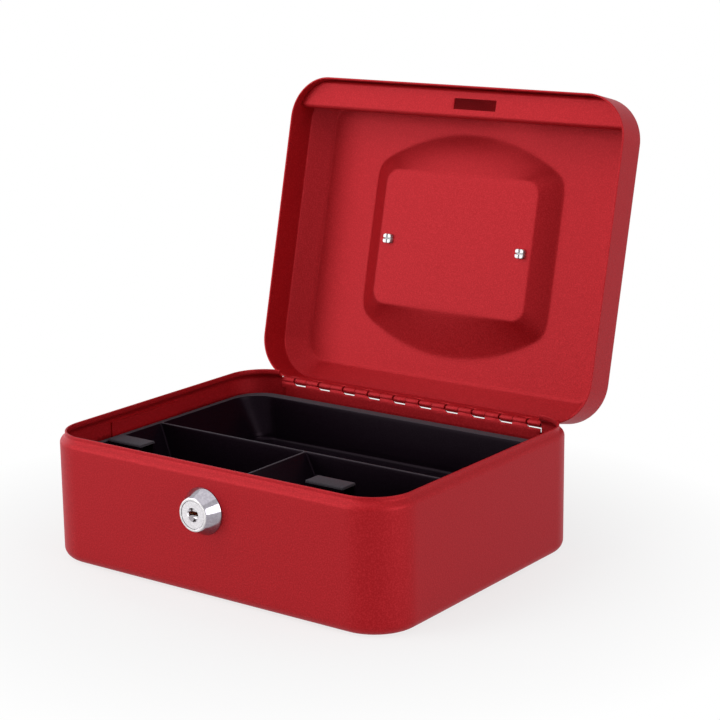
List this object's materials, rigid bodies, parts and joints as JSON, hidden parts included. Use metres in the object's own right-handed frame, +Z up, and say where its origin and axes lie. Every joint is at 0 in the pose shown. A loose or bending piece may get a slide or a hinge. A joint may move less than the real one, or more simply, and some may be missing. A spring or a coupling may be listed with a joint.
{
  "type": "cash box",
  "caption": "Steel cash box with a hinged lid, rounded corners, a folding carry handle in a well, a hook cam lock and a lift-out coin tray.",
  "frame": {"origin": "centre of the base, on the ground", "axes": "+X right, -Y front with the lock, +Z up; the lid is stored open"},
  "size_m": [0.2, 0.2311, 0.2113],
  "materials": {
    "red_powder_coat": "semi-gloss powder coat",
    "polished_chrome": "polished",
    "zinc_steel": "zinc plated",
    "satin_steel": "satin",
    "black_plastic": "fine grain with a low gloss",
    "brass": "stamped"
  },
  "bodies": {
    "box": {"body_shell": "red_powder_coat", "hinge_body_leaf": "red_powder_coat", "hinge_pin": "red_powder_coat", "tray_bracket_left": "red_powder_coat", "tray_bracket_right": "red_powder_coat", "lock_housing": "polished_chrome", "lock_nut": "zinc_steel"},
    "lid": {"lid_shell": "red_powder_coat", "strike_plate": "red_powder_coat", "hinge_lid_leaf": "red_powder_coat", "handle_post_left": "zinc_steel", "handle_post_right": "zinc_steel"},
    "handle": {"handle_bail": "polished_chrome"},
    "tray": {"coin_tray": "black_plastic"},
    "lock": {"lock_plug": "satin_steel", "stop_washer": "zinc_steel", "lock_cam": "zinc_steel", "cam_washer": "zinc_steel", "cam_screw": "zinc_steel"},
    "wafers": {"lock_wafers": "brass"}
  },
  "joints": [
    {"name": "lid_hinge", "type": "hinge", "parent": "box", "child": "lid", "pos_m": [0, 0.08045, 0.05573], "axis": [-1, 0, 0], "range_deg": [-103.25, 0]},
    {"name": "handle_fold", "type": "hinge", "parent": "lid", "child": "handle", "pos_m": [0, 0.12454, 0.128], "axis": [1, 0, 0], "range_deg": [-13.25, 76.75]},
    {"name": "lock_turn", "type": "hinge", "parent": "box", "child": "lock", "pos_m": [0, -0.08, 0.041], "axis": [0, -1, 0], "range_deg": [0, 90]},
    {"name": "wafer_slide", "type": "slide", "parent": "lock", "child": "wafers", "axis": [1, 0, 0], "range_m": [-0.0006, 0]},
    {"name": "tray_lift", "type": "slide", "parent": "box", "child": "tray", "axis": [0, 0, 1], "range_m": [0, 0.06]}
  ]
}
